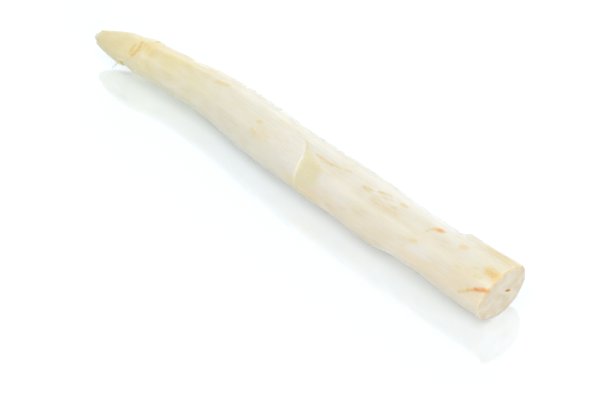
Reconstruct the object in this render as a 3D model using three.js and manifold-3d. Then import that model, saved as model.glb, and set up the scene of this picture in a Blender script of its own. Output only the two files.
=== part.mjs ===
// One spear of white asparagus, peeled from under its head down to the cut end and lying on its side.
// Millimetres, +Z up. The tip points along -X, the cut end faces +X, and the spear rests on Z = 0.
// The spear grew as one piece: a stem whose scale leaves close over each other at the head.
// A place on it is given by u, the distance from the tip, and by an angle about the stem's axis,
// in degrees from +Y towards +Z, so that 90 is the top and 270 the side that it lies on.

import * as THREE from "three";
import { ParametricGeometry } from "three/addons/geometries/ParametricGeometry.js";
import { mergeVertices } from "three/addons/utils/BufferGeometryUtils.js";
import Module from "manifold-3d";

// Driving dimensions
const LENGTH = 218;
const NECK_RADIUS = 8.3;
const WAIST_RADIUS = 12.15;
const BUTT_RADIUS = 12.7;
const HEAD_LENGTH = 26;

// The stem's outline. The nose is a paraboloid, so its radius grows with the root of u.
const NOSE_GROWTH = 1.9;
const NOSE_BLEND = 0.8;
const NECK_AT = 25;
const WAIST_AT = 97;

// The bud that the head's leaves stand on is thinner than their outline, and widens to meet it.
const BUD_SHARE = 0.76;
const BUD_WIDENS = [15, HEAD_LENGTH + 1];

// The stem's axis: a gentle sideways bow, as [u, Y], and its height above the surface it lies on.
const BOW = [
  [0, 0],
  [30, 4.6],
  [66, 6],
  [107, 2.2],
  [150, -0.4],
  [195, -1.6],
  [LENGTH, -1.7],
];
const HEAD_HEIGHT = 10.7;
const REST_DEPTH = 1;
const HEIGHT_BLEND = 1;

// The cut end leans a little out of square, and has a short dry slit in its pith.
const CUT_LEAN = 0.14;
const CUT_LEAN_ANGLE = 37;
const CUT_LEAN_RUN = 12;
const RIM_ROUND = 0.5;
const SLIT = { length: 3.4, width: 1.1, depth: 3, angle: 144, offset: 2.5, offsetAngle: 0 };

// Scale leaves stand on one spiral. The head keeps its own; below it only their roots' scars are left.
const TURN = 137.5;
const HEAD_LEAVES = 8;
const FIRST_LEAF_ANGLE = 125.5;
const LEAF_SPACING = 0.82;
const LEAF_SHARE = 0.86;
const LEAF_WIDTH = 18;
const LEAF_BELLY = { root: 0.85, swell: 1.1, taper: 0.75 };
const LEAF_REACH = 0.97;
const LEAF_LAYER = 0.026;
const LEAF_THICKNESS = 0.9;
const LEAF_ROOT_THICKNESS = 2.4;
const LEAF_THINS_BY = 0.6;
const LEAF_SINK = 0.9;
const LEAF_SINK_BY = 0.3;
const OPEN_LEAVES = 3;
const OPEN_LEAF_SINK = 0.3;
const LEAF_EDGE_DROP = 0.3;
const WIDEST_LEAF = 82;
const SCARS = [34, 43, 52, 62, 72, 88, 104, 120, 138, 158, 180, 204];
const SCAR_BITE = [0.25, 0.6];
const SCAR_RUN = [12, 28];
const SCAR_HALF_WIDTH = 34;
const SCAR_RISE = 0.12;
const SCAR_SHOULDER = 0.5;

// The peeler's long passes, all round the stem, and a second pass over the ridges between them.
// Each value drawn at random has its lowest and highest here.
const PASSES = 8;
const PASS_ANGLE = 20;
const SCATTER = [-3, 3];
const PASS_FROM = [HEAD_LENGTH + 0.6, HEAD_LENGTH + 3.6];
const PASS_BITE = [0.6, 0.9];
const PASS_LEAD = 2;
const RIDGE_FROM = [34, 94];
const RIDGE_LENGTH = [70, 120];
const RIDGE_BITE = [0.4, 0.6];
const RIDGE_LEAD = 25;
const FACET_SOFTNESS = 0.5;
const FACET_REACH = 75;
const WANDER = { angle: 4, length: 34 };

// Passes that dug deeper, by where the blade went in and came out again.
const DEEP_PASSES = [
  { angle: 45, from: 145, to: 194.5, bite: 2.3, leadIn: 45, leadOut: 2.4 },
  { angle: 216, from: 118, to: 153, bite: 1.6, leadIn: 20, leadOut: 10 },
  { angle: 216, from: 157, to: 212, bite: 2.2, leadIn: 16, leadOut: 30 },
  { angle: 139, from: 120.4, to: 146, bite: 1.7, leadIn: 0.9, leadOut: 22 },
];

// Mesh
const AROUND = 52;
const RING_STEP = 3.6;
const NARROWEST_RING_STEP = 0.4;
const HEAD_RINGS = 14;
const HEAD_RING_SPREAD = 1.6;
const SHARP_LEAD = 3;
const CAP_RINGS = [0.8, 0.4];
const LEAF_ACROSS = 7;
const LEAF_ALONG = 8;
const WELD = 1e-4;
const SLIVER = 0.012;
const SEED = 20;
const RANDOM = { factor: 16807, range: 2147483647 };

const clamp = (x, low, high) => Math.min(Math.max(x, low), high);
const radians = THREE.MathUtils.degToRad;

function smooth(x) {
  const t = clamp(x, 0, 1);
  return t * t * (3 - 2 * t);
}

function softMin(a, b, blend) {
  const h = clamp(0.5 + (0.5 * (b - a)) / blend, 0, 1);
  return b + (a - b) * h - blend * h * (1 - h);
}

// A seeded draw between 0 and 1, so that every run gives the same spear.
let seed = SEED;
function draw() {
  seed = (seed * RANDOM.factor) % RANDOM.range;
  return seed / RANDOM.range;
}

function between([low, high]) {
  return low + (high - low) * draw();
}

// A smooth curve through [u, value] stations, read at u.
function along(stations, u) {
  const last = stations.length - 1;
  let i = 0;
  while (i < last - 1 && u > stations[i + 1][0]) i++;
  const slopeAt = (k) => {
    const [before, after] = [stations[Math.max(k - 1, 0)], stations[Math.min(k + 1, last)]];
    return (after[1] - before[1]) / (after[0] - before[0]);
  };
  const [[x0, y0], [x1, y1]] = [stations[i], stations[i + 1]];
  const [span, t] = [x1 - x0, (u - x0) / (x1 - x0)];
  const [t2, t3] = [t * t, t * t * t];
  return (
    y0 * (2 * t3 - 3 * t2 + 1) +
    y1 * (3 * t2 - 2 * t3) +
    span * (slopeAt(i) * (t3 - 2 * t2 + t) + slopeAt(i + 1) * (t3 - t2))
  );
}

// The signed turn from one angle to another, in degrees, from -180 to 180.
function turnTo(angle, other) {
  return ((((other - angle) % 360) + 540) % 360) - 180;
}

// The radius over the skin and the closed scale leaves.
function skinRadius(u) {
  const nose = NOSE_GROWTH * Math.sqrt(Math.max(u, 0));
  const swelling = (WAIST_RADIUS - NECK_RADIUS) * smooth((u - NECK_AT) / (WAIST_AT - NECK_AT));
  const flare = (BUTT_RADIUS - WAIST_RADIUS) * clamp((u - WAIST_AT) / (LENGTH - WAIST_AT), 0, 1);
  return softMin(nose, NECK_RADIUS + swelling + flare, NOSE_BLEND);
}

// The radius of the stem before it is peeled, and of the bud under the head's leaves.
function budRadius(u) {
  const [start, end] = BUD_WIDENS;
  return skinRadius(u) * (BUD_SHARE + (1 - BUD_SHARE) * smooth((u - start) / (end - start)));
}

function axisHeight(u) {
  return -softMin(-(skinRadius(u) - REST_DEPTH), -HEAD_HEIGHT, HEIGHT_BLEND);
}

// The point at distance r from the axis, at u and an angle. Nothing reaches under the surface it lies on.
function place(u, angle, r, target) {
  const a = radians(angle);
  const z = axisHeight(u) + r * Math.sin(a);
  return target.set(u - LENGTH / 2, along(BOW, u) + r * Math.cos(a), Math.max(z, 0));
}

function peelerPasses() {
  const passes = [];
  for (let i = 0; i < PASSES; i++) {
    const angle = PASS_ANGLE + (i * 360) / PASSES;
    passes.push({
      angle: angle + between(SCATTER),
      from: between(PASS_FROM),
      to: 2 * LENGTH,
      bite: between(PASS_BITE),
      leadIn: PASS_LEAD,
      leadOut: PASS_LEAD,
    });
    const start = between(RIDGE_FROM);
    passes.push({
      angle: angle + 180 / PASSES + between(SCATTER),
      from: start,
      to: start + between(RIDGE_LENGTH),
      bite: between(RIDGE_BITE),
      leadIn: RIDGE_LEAD,
      leadOut: RIDGE_LEAD,
    });
  }
  return [...passes, ...DEEP_PASSES];
}

// Where a scale leaf was shaved off, its root leaves a step that faces the cut end.
function rootScars() {
  return SCARS.map((root, i) => ({
    angle: FIRST_LEAF_ANGLE + TURN * (i + 1),
    from: root,
    run: between(SCAR_RUN),
    bite: between(SCAR_BITE),
  }));
}

const passes = peelerPasses();
const scars = rootScars();

// The radius of the bare stem. Each pass of the peeler is a flat cut at its own distance from the axis.
function stemRadius(u, angle) {
  let radius = budRadius(u);
  for (const pass of passes) {
    const depth = pass.bite * smooth((u - pass.from) / pass.leadIn) * smooth((pass.to - u) / pass.leadOut);
    const wander = WANDER.angle * Math.sin(u / WANDER.length + pass.angle);
    const away = turnTo(pass.angle + wander, angle);
    if (depth > 0 && Math.abs(away) < FACET_REACH)
      radius = softMin(radius, (skinRadius(u) - depth) / Math.cos(radians(away)), FACET_SOFTNESS);
  }
  for (const scar of scars) {
    const side = 1 - Math.abs(turnTo(scar.angle, angle)) / SCAR_HALF_WIDTH;
    const after = (u - scar.from) / scar.run;
    if (after > 0 && after < 1 && side > 0)
      radius -= scar.bite * smooth(after / SCAR_RISE) * (1 - smooth(after)) * smooth(side / SCAR_SHOULDER);
  }
  return radius;
}

// A closed mesh with its faces out, as a solid that can be joined and cut.
function solid(wasm, geometry) {
  const bare = new THREE.BufferGeometry();
  bare.setAttribute("position", geometry.getAttribute("position"));
  bare.setIndex(geometry.index);
  const merged = mergeVertices(bare, WELD);
  const corners = merged.index.array;
  const faces = [];
  for (let i = 0; i < corners.length; i += 3) {
    const [a, b, c] = corners.slice(i, i + 3);
    if (a !== b && b !== c && c !== a) faces.push(a, b, c);
  }
  return new wasm.Manifold(
    new wasm.Mesh({
      numProp: 3,
      vertProperties: merged.attributes.position.array,
      triVerts: new Uint32Array(faces),
    }),
  );
}

// Distances from the tip at which the stem gets a ring of points: close in the head and at each step.
function ringPlaces() {
  const places = [];
  for (let i = 1; i <= HEAD_RINGS; i++) places.push(PASS_FROM[1] * (i / HEAD_RINGS) ** HEAD_RING_SPREAD);
  for (let u = PASS_FROM[1] + RING_STEP; u < LENGTH - RING_STEP / 2; u += RING_STEP) places.push(u);
  for (const pass of DEEP_PASSES) {
    if (pass.leadIn < SHARP_LEAD) places.push(pass.from, pass.from + pass.leadIn);
    if (pass.leadOut < SHARP_LEAD) places.push(pass.to - pass.leadOut, pass.to);
  }
  places.push(LENGTH - RIM_ROUND);
  places.sort((a, b) => a - b);
  return places.filter((u, i) => i === 0 || u - places[i - 1] > NARROWEST_RING_STEP);
}

// The stem: a skin of rings from the tip to the rim, closed by the cut face.
function stemGeometry() {
  const rings = ringPlaces();
  const rows = 1 + rings.length + 1 + CAP_RINGS.length + 1;
  const shape = (s, t, target) => {
    const angle = 360 * s;
    const row = Math.round(t * (rows - 1));
    if (row === 0) return place(0, angle, 0, target);
    if (row <= rings.length) return place(rings[row - 1], angle, stemRadius(rings[row - 1], angle), target);
    const share = [1, ...CAP_RINGS, 0][row - 1 - rings.length];
    const rim = stemRadius(LENGTH, angle) - RIM_ROUND;
    return place(LENGTH, angle, share * rim, target);
  };
  const geometry = new ParametricGeometry(shape, AROUND, rows - 1);
  leanCut(geometry.getAttribute("position"));
  return geometry;
}

// Slides the last few millimetres of the stem along X, so that the cut face leans.
function leanCut(points) {
  const [leanY, leanZ] = [Math.cos(radians(CUT_LEAN_ANGLE)), Math.sin(radians(CUT_LEAN_ANGLE))];
  for (let i = 0; i < points.count; i++) {
    const u = points.getX(i) + LENGTH / 2;
    const share = smooth((u - LENGTH + CUT_LEAN_RUN) / CUT_LEAN_RUN);
    const [y, z] = [points.getY(i) - along(BOW, u), points.getZ(i) - axisHeight(u)];
    points.setX(i, points.getX(i) + share * CUT_LEAN * (leanY * y + leanZ * z));
  }
}

// A scale leaf's width at v, from 0 at its root to 1 at its point, as a share of its full width.
function leafOutline(v) {
  return (1 - v) ** LEAF_BELLY.taper * (LEAF_BELLY.root + LEAF_BELLY.swell * v);
}

// One scale leaf of the head, counted from the outermost: a thin arched blade, rooted in the stem,
// broad at its root and drawn to a point. It lies over the tips of the younger leaves inside it.
function leafGeometry(order) {
  const root = HEAD_LENGTH * LEAF_SPACING ** order;
  const length = root * LEAF_SHARE;
  const middle = FIRST_LEAF_ANGLE - TURN * order;
  const rows = LEAF_ALONG + 2;
  const shape = (s, t, target) => {
    const row = Math.round(t * rows);
    const v = (LEAF_REACH * clamp(row - 1, 0, LEAF_ALONG)) / LEAF_ALONG;
    const closed = row === 0 || row === rows;
    const across = closed ? 0 : s < 0.5 ? 1 - 4 * s : 4 * s - 3;
    const outer = s < 0.5 || s === 1;
    const u = root - length * v;
    const skin = skinRadius(u);
    const width = LEAF_WIDTH * leafOutline(v) * Math.sqrt(root / HEAD_LENGTH);
    const half = Math.min(THREE.MathUtils.radToDeg(width / 2 / skin), WIDEST_LEAF);
    const sink = order < OPEN_LEAVES ? OPEN_LEAF_SINK : LEAF_SINK;
    const sunk = sink * (1 - smooth(v / LEAF_SINK_BY)) + LEAF_EDGE_DROP * across ** 4;
    const top = skin * (1 - LEAF_LAYER * order) - sunk;
    const thick = LEAF_ROOT_THICKNESS + (LEAF_THICKNESS - LEAF_ROOT_THICKNESS) * smooth(v / LEAF_THINS_BY);
    const under = top - Math.min(thick, top / 2) * (Math.abs(across) === 1 || closed ? 0.5 : 1);
    return place(u, middle + half * across, outer && !closed ? top : under, target);
  };
  return new ParametricGeometry(shape, 2 * LEAF_ACROSS, rows);
}

// The slit in the pith, as the lens-shaped solid that is cut away.
function slitGeometry() {
  const geometry = new THREE.SphereGeometry(0.5, 10, 8);
  geometry.scale(2 * SLIT.depth, SLIT.length, SLIT.width);
  geometry.rotateX(radians(SLIT.angle));
  const away = radians(SLIT.offsetAngle);
  const [y, z] = [SLIT.offset * Math.cos(away), SLIT.offset * Math.sin(away)];
  geometry.translate(LENGTH / 2, along(BOW, LENGTH) + y, axisHeight(LENGTH) + z);
  return geometry;
}

// The joined leaves close over small hollows. Only the shell around everything is kept,
// read back from its own mesh so that slivers left by the joins are gone before the hollows are told apart.
function outerShell(wasm, body) {
  const plain = new wasm.Manifold(body.simplify(SLIVER).getMesh());
  return plain.decompose().reduce((kept, shell) => (shell.volume() > kept.volume() ? shell : kept));
}

function spearMesh(wasm) {
  let body = solid(wasm, stemGeometry());
  for (let order = 0; order < HEAD_LEAVES; order++) body = body.add(solid(wasm, leafGeometry(order)));
  body = outerShell(wasm, body.subtract(solid(wasm, slitGeometry())));
  const { vertProperties, triVerts } = body.getMesh();
  const geometry = new THREE.BufferGeometry();
  geometry.setAttribute("position", new THREE.BufferAttribute(vertProperties, 3));
  geometry.setIndex(new THREE.BufferAttribute(triVerts, 1));
  geometry.computeVertexNormals();
  const material = new THREE.MeshStandardMaterial({
    color: 0xe6dfc8,
    roughness: 0.42,
    metalness: 0,
    flatShading: true,
  });
  const mesh = new THREE.Mesh(geometry, material);
  mesh.name = "spear";
  return mesh;
}

const wasm = await Module();
wasm.setup();

// The frame's origin is the middle of the spear's box, on the surface that it lies on.
const spear = spearMesh(wasm);
spear.geometry.computeBoundingBox();
const middle = spear.geometry.boundingBox.getCenter(new THREE.Vector3());
spear.position.set(-middle.x, -middle.y, 0);

const asparagus = new THREE.Group();
asparagus.add(spear);

export default asparagus;
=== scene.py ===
"""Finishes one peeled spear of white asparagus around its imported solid.

The spear is rebuilt as one closed, fine mesh that keeps the solid's form: a stem with the long flats that a
peeler leaves, a head of closed scale leaves, and a slanted cut end with a slit in its pith.

Lengths are in millimetres until a mesh is made. A place on the spear is given by u, the distance from the
tip, and by an angle in degrees about the axis, from +Y towards +Z: 90 is the top, 270 the side it lies on.
"""

from __future__ import annotations

import logging
import math
from dataclasses import dataclass, field
from enum import Enum
from typing import Any

import bmesh
import bpy
import numpy as np
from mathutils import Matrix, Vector


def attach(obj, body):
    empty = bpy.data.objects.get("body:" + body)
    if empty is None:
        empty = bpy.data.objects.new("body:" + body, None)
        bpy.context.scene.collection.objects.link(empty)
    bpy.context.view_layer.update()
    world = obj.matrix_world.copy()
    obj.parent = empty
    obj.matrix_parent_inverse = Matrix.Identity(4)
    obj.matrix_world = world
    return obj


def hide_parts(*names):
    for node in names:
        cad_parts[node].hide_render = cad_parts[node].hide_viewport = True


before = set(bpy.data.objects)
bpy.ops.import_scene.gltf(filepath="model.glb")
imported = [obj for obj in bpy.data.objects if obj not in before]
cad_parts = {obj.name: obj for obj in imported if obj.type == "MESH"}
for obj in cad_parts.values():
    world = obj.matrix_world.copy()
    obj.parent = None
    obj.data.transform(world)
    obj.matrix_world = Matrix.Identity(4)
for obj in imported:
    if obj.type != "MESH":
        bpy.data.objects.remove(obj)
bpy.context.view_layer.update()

LOG = logging.getLogger("asparagus")
MM = 0.001
STRAIGHT = "straight"
KNOWN = "known"
Colour = tuple[float, float, float, float]
Span = tuple[float, float]
Stations = tuple[Span, ...]
Values = float | np.ndarray


class Slot(Enum):
    """The places on the spear that have a finish of their own, in the order of the mesh's material slots."""

    FLESH = 0
    LEAF = 1
    CUT = 2


class Mask(Enum):
    """The masks that the spear's points carry for its finishes, each from 0 to 1."""

    TINT = "tint"
    # Painted shade: warm cream for the flanks that face away from the lit top.
    WARM_SHADE = "warm"
    # Mask of the ridges, which are painted paler: a painted highlight with a little edge wear.
    RIDGE_HIGHLIGHT = "ridge"
    ROUGH = "rough"
    MARGIN = "margin"
    ORANGE = "orange"
    OCHRE = "ochre"
    GREEN = "green"
    PALE = "pale"


def rgb(red: int, green: int, blue: int) -> Colour:
    """Turn a display colour from 0 to 255 into the linear colour that a shader takes."""
    linear = [((c / 255 + 0.055) / 1.055) ** 2.4 if c > 10 else c / 255 / 12.92 for c in (red, green, blue)]
    return (linear[0], linear[1], linear[2], 1.0)


WHITE: Colour = (1.0, 1.0, 1.0, 1.0)
STAINS: dict[Mask, Colour] = {
    Mask.ORANGE: rgb(240, 164, 74),
    Mask.OCHRE: rgb(236, 206, 118),
    Mask.GREEN: rgb(233, 224, 176),
    Mask.PALE: rgb(242, 238, 229),
}


def smooth(x: Values) -> Values:
    """Ease from 0 to 1 as x goes from 0 to 1."""
    t = np.clip(x, 0.0, 1.0)
    return t * t * (3 - 2 * t)


def bell(x: Values) -> Values:
    """Return a soft peak, 1 where x is 0 and next to nothing past 2 either way."""
    return np.exp(-(x**2))


def soft_min(a: Values, b: Values, blend: float) -> Values:
    """Return the smaller of two values, rounded off where they are within blend of each other."""
    h = np.clip(0.5 + 0.5 * (b - a) / blend, 0.0, 1.0)
    return b + (a - b) * h - blend * h * (1 - h)


def turn_to(angle: Values, other: Values) -> Values:
    """Return the signed turn from one angle to another, from -180 to 180 degrees."""
    return (other - angle + 540.0) % 360.0 - 180.0


def along(stations: Stations, u: Values) -> np.ndarray:
    """Read a smooth curve through stations.

    Args:
        stations: pairs of a place and the value there, in order.
        u: the places to read.

    Returns:
        The curve's values at those places.
    """
    xs, ys = np.array(stations, float).T
    slopes = np.empty_like(ys)
    slopes[1:-1] = (ys[2:] - ys[:-2]) / (xs[2:] - xs[:-2])
    slopes[0] = (ys[1] - ys[0]) / (xs[1] - xs[0])
    slopes[-1] = (ys[-1] - ys[-2]) / (xs[-1] - xs[-2])
    i = np.clip(np.searchsorted(xs, u, side="left") - 1, 0, len(xs) - 2)
    span = xs[i + 1] - xs[i]
    t = (u - xs[i]) / span
    t2, t3 = t * t, t * t * t
    ends = ys[i] * (2 * t3 - 3 * t2 + 1) + ys[i + 1] * (3 * t2 - 2 * t3)
    return ends + span * (slopes[i] * (t3 - 2 * t2 + t) + slopes[i + 1] * (t3 - t2))


def straight_places(u: Values, angle: Values, radius: Values) -> np.ndarray:
    """Return where places are on the spear when it is held straight, so that fibres follow its bow."""
    turn = np.radians(angle)
    return np.stack(np.broadcast_arrays(u, radius * np.cos(turn), radius * np.sin(turn)), axis=-1)


def egg(rows: int, around: int, axes: np.ndarray) -> tuple[np.ndarray, np.ndarray]:
    """Make an egg about the origin.

    Args:
        rows: the number of rings.
        around: the number of points on a ring.
        axes: the three half axes, with the poles on the first.

    Returns:
        The rings and the two poles.
    """
    t = np.radians(np.linspace(0, 180, rows + 2)[1:-1])[:, None]
    turn = np.linspace(0, 2 * math.pi, around, endpoint=False)[None, :]
    ball = np.broadcast_arrays(np.cos(t), np.sin(t) * np.cos(turn), np.sin(t) * np.sin(turn))
    return np.stack(ball, axis=-1) @ axes, np.array([axes[0], -axes[0]])


class Draws:
    """Seeded draws, the same in every run."""

    FACTOR = 16807
    RANGE = 2147483647

    def __init__(self, seed: int) -> None:
        """Start from a whole-number seed."""
        self.state = seed

    def between(self, low: float, high: float) -> float:
        """Draw a number between two limits."""
        self.state = self.state * self.FACTOR % self.RANGE
        return low + (high - low) * self.state / self.RANGE


@dataclass(frozen=True)
class Form:
    """The spear's outline and the gentle bow of its axis."""

    length: float = 218.0
    neck_radius: float = 8.3
    waist_radius: float = 12.15
    butt_radius: float = 12.7
    head_length: float = 26.0
    nose_growth: float = 1.9
    nose_blend: float = 0.8
    neck_at: float = 25.0
    waist_at: float = 97.0
    bud_share: float = 0.76
    bud_widens: Span = (15.0, 27.0)
    bow: Stations = ((0, 0), (30, 4.6), (66, 6), (107, 2.2), (150, -0.4), (195, -1.6), (218, -1.7))
    head_height: float = 10.7
    rest_depth: float = 1.0
    height_blend: float = 1.0
    cut_lean: float = 0.14
    cut_lean_angle: float = 37.0
    cut_lean_run: float = 12.0

    def skin(self, u: Values) -> Values:
        """Find the radius over the skin and the closed scale leaves.

        Args:
            u: the distance from the tip.

        Returns:
            The radius.
        """
        nose = self.nose_growth * np.sqrt(np.maximum(u, 0.0))
        swelling = smooth((u - self.neck_at) / (self.waist_at - self.neck_at))
        flare = np.clip((u - self.waist_at) / (self.length - self.waist_at), 0.0, 1.0)
        shaft = self.neck_radius + (self.waist_radius - self.neck_radius) * swelling
        return soft_min(nose, shaft + (self.butt_radius - self.waist_radius) * flare, self.nose_blend)

    def bud(self, u: Values) -> Values:
        """Return the radius of the unpeeled stem, and of the bud under the head's leaves."""
        start, end = self.bud_widens
        return self.skin(u) * (self.bud_share + (1 - self.bud_share) * smooth((u - start) / (end - start)))

    def height(self, u: Values) -> Values:
        """Return the height of the axis above the surface that the spear lies on."""
        return -soft_min(-(self.skin(u) - self.rest_depth), -self.head_height, self.height_blend)

    def place(self, u: Values, angle: Values, radius: Values) -> np.ndarray:
        """Find the points at a distance from the axis.

        Args:
            u: the distance from the tip.
            angle: the angle about the axis.
            radius: the distance from the axis.

        Returns:
            The points, with the slant of the cut end, and none below the surface that the spear lies on.
        """
        turn = np.radians(angle)
        y, z = radius * np.cos(turn), radius * np.sin(turn)
        lean = math.radians(self.cut_lean_angle)
        slide = smooth((u - self.length + self.cut_lean_run) / self.cut_lean_run)
        x = u - self.length / 2 + self.cut_lean * slide * (math.cos(lean) * y + math.sin(lean) * z)
        points = np.broadcast_arrays(x, along(self.bow, u) + y, np.maximum(self.height(u) + z, 0.0))
        return np.stack(points, axis=-1)


@dataclass(frozen=True)
class PeelerPass:
    """One stroke of the peeler: a flat cut at its own distance from the axis."""

    angle: float
    start: float
    end: float
    bite: float
    lead_in: float
    lead_out: float
    wander_angle: float = 4.0
    wander_length: float = 34.0
    reach: float = 75.0

    def cut(self, radius: Values, form: Form, u: Values, angle: Values, softness: float) -> Values:
        """Shave the stem.

        Args:
            radius: the radius before the stroke.
            form: the spear's outline.
            u: the distance from the tip.
            angle: the angle about the axis.
            softness: how far the edges of the flat are rounded.

        Returns:
            The radius after the stroke.
        """
        rise = smooth((u - self.start) / self.lead_in) * smooth((self.end - u) / self.lead_out)
        depth = self.bite * rise
        away = turn_to(self.angle + self.wander_angle * np.sin(u / self.wander_length + self.angle), angle)
        within = np.clip(away, -self.reach, self.reach)
        flat = (form.skin(u) - depth) / np.cos(np.radians(within))
        shaved = soft_min(radius, flat, softness)
        return np.where((depth > 0) & (np.abs(away) < self.reach), shaved, radius)


@dataclass(frozen=True)
class LeafScar:
    """What is left of a scale leaf that the peeler shaved off: a step at its root and a paler triangle."""

    angle: float
    root: float
    run: float
    bite: float
    paleness: float
    half_width: float = 34.0
    rise: float = 0.24
    shoulder: float = 0.6
    length: float = 19.0
    relief: float = 0.12
    leaf_share: float = 0.8
    leaf_taper: float = 0.8
    leaf_edge: float = 4.0
    leaf_root_fade: float = 0.03
    leaf_tip_fade: float = 0.3

    def step(self, u: Values, angle: Values) -> Values:
        """Find how far the stem is lower on the cut end's side of the root.

        Args:
            u: the distance from the tip.
            angle: the angle about the axis.

        Returns:
            The depth.
        """
        side = 1 - np.abs(turn_to(self.angle, angle)) / self.half_width
        after = (u - self.root) / self.run
        depth = self.bite * smooth(after / self.rise) * (1 - smooth(after)) * smooth(side / self.shoulder)
        return np.where((after > 0) & (after < 1) & (side > 0), depth, 0.0)

    def triangle(self, u: Values, angle: Values) -> Values:
        """Mask the leaf's own triangle, which points at the tip.

        Args:
            u: the distance from the tip.
            angle: the angle about the axis.

        Returns:
            The mask.
        """
        before = (self.root - u) / self.length
        half = self.half_width * self.leaf_share * (1 - np.clip(before, 0, 1)) ** self.leaf_taper
        inside = smooth((half - np.abs(turn_to(self.angle, angle))) / self.leaf_edge + 0.5)
        return inside * smooth(before / self.leaf_root_fade) * smooth((1 - before) / self.leaf_tip_fade)


@dataclass(frozen=True)
class Mark:
    """A soft stroke on the skin, from one place to another, as colour or as relief."""

    kind: Mask
    start: Span
    end: Span
    width: float
    strength: float

    def at(self, u: np.ndarray, angle: np.ndarray, radius: np.ndarray) -> np.ndarray:
        """Find the stroke's strength, which fades out from its line.

        Args:
            u: the distance from the tip.
            angle: the angle about the axis.
            radius: the distance from the axis.

        Returns:
            The strength.
        """
        round_scale = np.radians(1.0) * radius
        run = self.end[0] - self.start[0]
        climb = float(turn_to(self.start[1], self.end[1])) * round_scale
        du = u - self.start[0]
        dv = turn_to(self.start[1], angle) * round_scale
        share = np.clip((du * run + dv * climb) / (run * run + climb * climb + 1e-9), 0.0, 1.0)
        gap = np.hypot(du - share * run, dv - share * climb)
        return self.strength * bell(gap / self.width)


@dataclass(frozen=True)
class Patch:
    """A broad soft patch, which can end abruptly where a stroke of the peeler began."""

    kind: Mask
    span: Span
    angles: Span
    fade_in: float
    fade_out: float
    side_fade: float
    strength: float

    def at(self, u: np.ndarray, angle: np.ndarray) -> np.ndarray:
        """Find the patch's strength.

        Args:
            u: the distance from the tip.
            angle: the angle about the axis.

        Returns:
            The strength.
        """
        middle, half = sum(self.angles) / 2, (self.angles[1] - self.angles[0]) / 2
        side = smooth((half - np.abs(turn_to(middle, angle))) / self.side_fade)
        ends = smooth((u - self.span[0]) / self.fade_in) * smooth((self.span[1] - u) / self.fade_out)
        return self.strength * side * ends


@dataclass(frozen=True)
class PeelEdge:
    """The slanted border where a stroke of the peeler began: a low step, white before it, green beyond it."""

    border: Stations = ((80, 114.6), (89, 116.2), (105, 118.6), (125, 120.5), (169, 120.5), (190, 121.5))
    far: Stations = ((80, 115), (89, 117.4), (106, 124), (116, 130.5), (145, 132.5), (176, 125.5), (190, 122))
    middle: float = 134.0
    half: float = 50.0
    side_fade: float = 12.0
    depth: float = 0.34
    wall: float = 0.7
    level: float = 6.0
    run: float = 20.0
    whiteness: float = 0.66
    white_length: float = 21.0
    white_fade: float = 14.0
    white_edge: float = 0.3
    white_to: float = 176.0
    white_side_fade: float = 24.0
    greenness: float = 0.6
    green_fade: float = 5.0
    green_edge: float = 0.4
    green_margin: float = 2.0
    line_margin: float = 4.0

    def _past(self, u: Values, angle: Values, line: Stations) -> tuple[Values, Values]:
        """Find how far each place is past a line, and how well it is within the edge's sides.

        Args:
            u: the distance from the tip.
            angle: the angle about the axis.
            line: the line, as the distance from the tip over the angle.

        Returns:
            The distance past the line, and a mask of the sides.
        """
        away = turn_to(self.middle, angle)
        reach = self.half + self.line_margin
        past = u - along(line, self.middle + np.clip(away, -reach, reach))
        return past, smooth((self.half - np.abs(away)) / self.side_fade)

    def step(self, u: Values, angle: Values) -> Values:
        """Return how far the stem is lower beyond the border."""
        past, side = self._past(u, angle, self.border)
        return self.depth * smooth(past / self.wall) * (1 - smooth((past - self.level) / self.run)) * side

    def white(self, u: Values, angle: Values) -> Values:
        """Mask the freshly peeled strip before the border, with the step's wall.

        Args:
            u: the distance from the tip.
            angle: the angle about the axis.

        Returns:
            The mask.
        """
        past, side = self._past(u, angle, self.border)
        side = side * smooth((self.white_to - turn_to(0.0, angle)) / self.white_side_fade)
        wall = smooth((self.wall - past) / self.white_edge + 0.5)
        before = wall * smooth((past + self.white_length) / self.white_fade)
        return self.whiteness * before * side

    def green(self, u: Values, angle: Values) -> Values:
        """Mask the unpeeled triangle beyond the border.

        Args:
            u: the distance from the tip.
            angle: the angle about the axis.

        Returns:
            The mask.
        """
        past, _ = self._past(u, angle, self.border)
        over, _ = self._past(u, angle, self.far)
        inside = (np.abs(turn_to(self.middle, angle)) < self.half + self.green_margin) * self.greenness
        return inside * smooth((past - self.wall) / self.green_edge) * smooth(0.5 - over / self.green_fade)


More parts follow.
